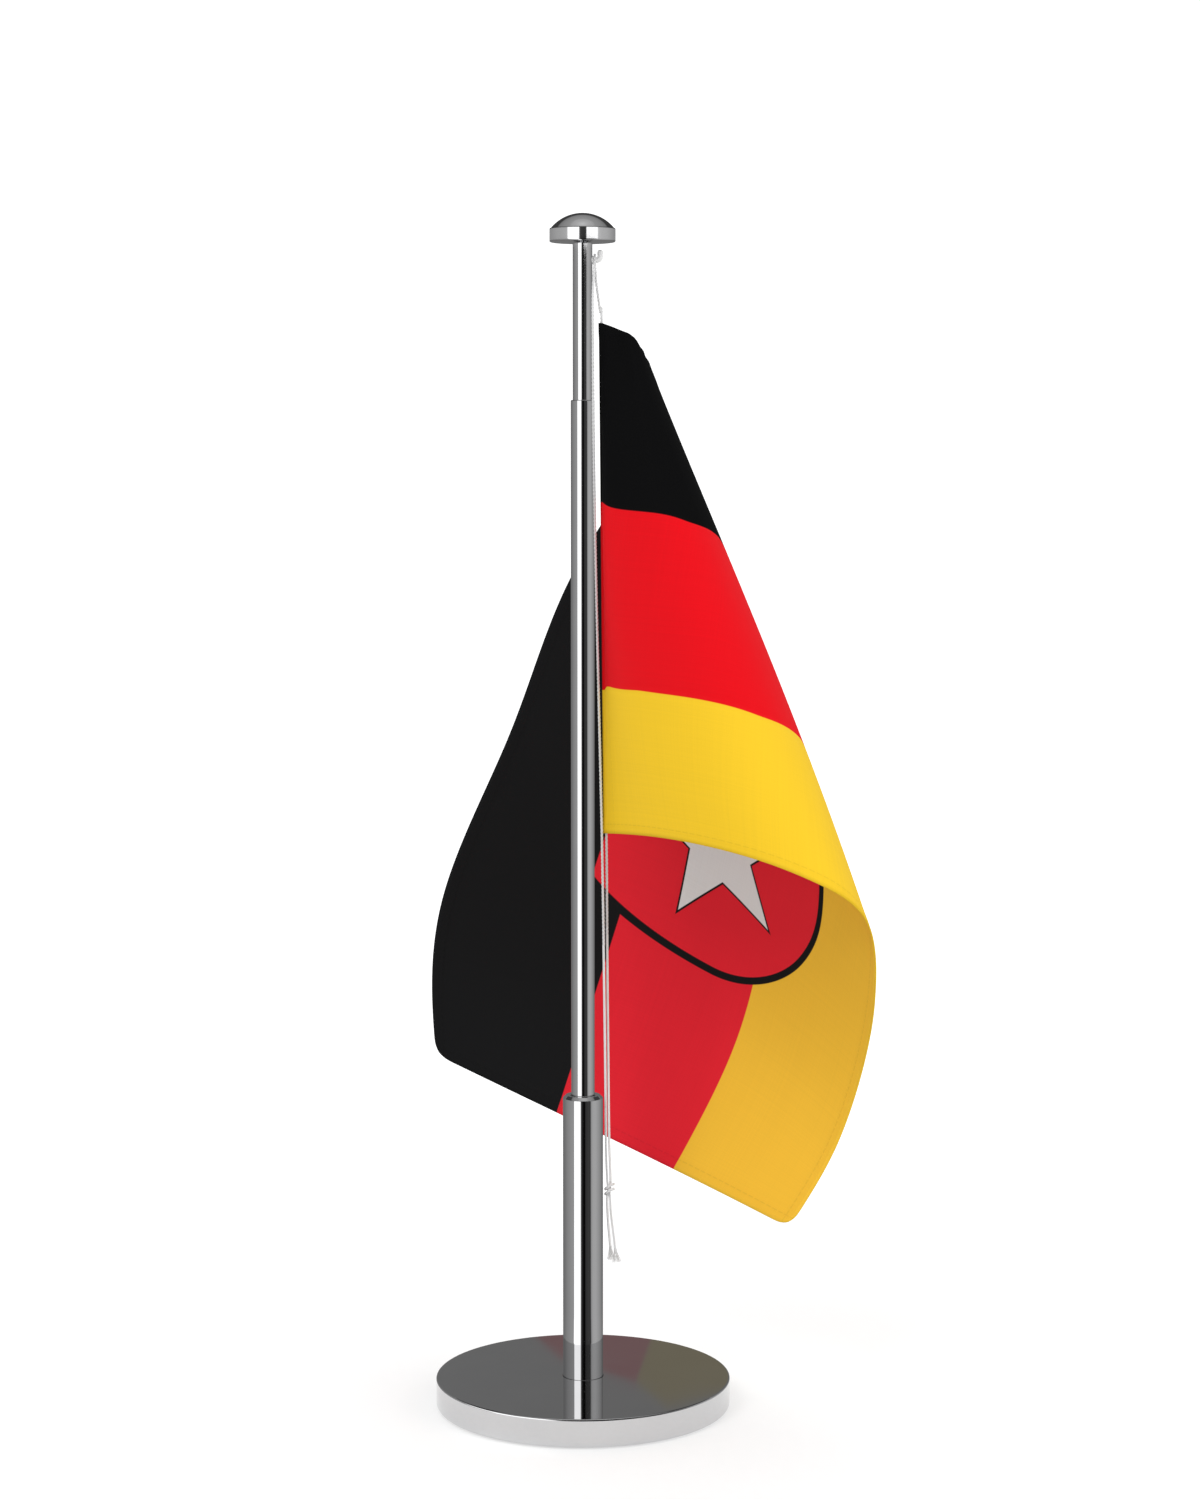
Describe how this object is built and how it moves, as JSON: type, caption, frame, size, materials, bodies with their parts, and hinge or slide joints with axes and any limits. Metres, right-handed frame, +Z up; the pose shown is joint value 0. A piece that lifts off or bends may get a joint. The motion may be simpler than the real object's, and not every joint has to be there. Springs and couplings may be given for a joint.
{
  "type": "desk flag stand",
  "caption": "Polished desk flag stand: disc base, telescopic mast with mushroom cap and hook, halyard with knot, and a draped three-stripe cloth flag.",
  "frame": {"origin": "on the mast's axis, at the underside of the felt pad, where the stand meets the desk", "axes": "+Z up along the mast; +X to the hoist, the hook and the halyard; +Y to the side that the flag folds round to, so the viewer looks along +Y"},
  "size_m": [0.1334, 0.1231, 0.3552],
  "materials": {
    "chrome": "mirror-polished chrome plate",
    "felt": "matt black felt",
    "zinc_steel": "zinc-plated steel",
    "nylon": "white nylon",
    "brass": "turned brass",
    "flag_cloth": "printed polyester weave with black, red and gold stripes",
    "cord": "white braided cord"
  },
  "bodies": {
    "base": {"base_disc": "chrome", "felt_pad": "felt", "base_screw": "zinc_steel", "base_washer": "zinc_steel", "column_foot_plug": "zinc_steel", "lower_column": "chrome", "guide_bush": "nylon"},
    "mast_foot": {"mast_foot_sleeve": "nylon"},
    "middle_mast": {"mast_foot_spindle": "brass", "middle_tube": "chrome"},
    "top_slider": {"top_friction_sleeve": "brass"},
    "top_mast": {"top_spindle": "brass", "top_tube": "chrome", "cap_insert": "brass", "cap_stud": "zinc_steel", "finial_cap": "chrome", "halyard_hook": "nylon", "hoist_hem": "flag_cloth", "flag_cloth": "flag_cloth", "halyard_free_strand": "cord", "halyard_hem_strand": "cord", "halyard_knot": "cord", "halyard_long_tail": "cord", "halyard_short_tail": "cord"}
  },
  "joints": [
    {"name": "middle_slide", "type": "slide", "parent": "base", "child": "mast_foot", "axis": [0, 0, 1], "range_m": [0, 0.04]},
    {"name": "middle_turn", "type": "hinge", "parent": "mast_foot", "child": "middle_mast", "pos_m": [0, 0, 0.0234], "axis": [0, 0, 1], "continuous": true},
    {"name": "top_slide", "type": "slide", "parent": "middle_mast", "child": "top_slider", "axis": [0, 0, 1], "range_m": [-0.025, 0.11]},
    {"name": "top_turn", "type": "hinge", "parent": "top_slider", "child": "top_mast", "pos_m": [0, 0, 0.13], "axis": [0, 0, 1], "continuous": true}
  ]
}
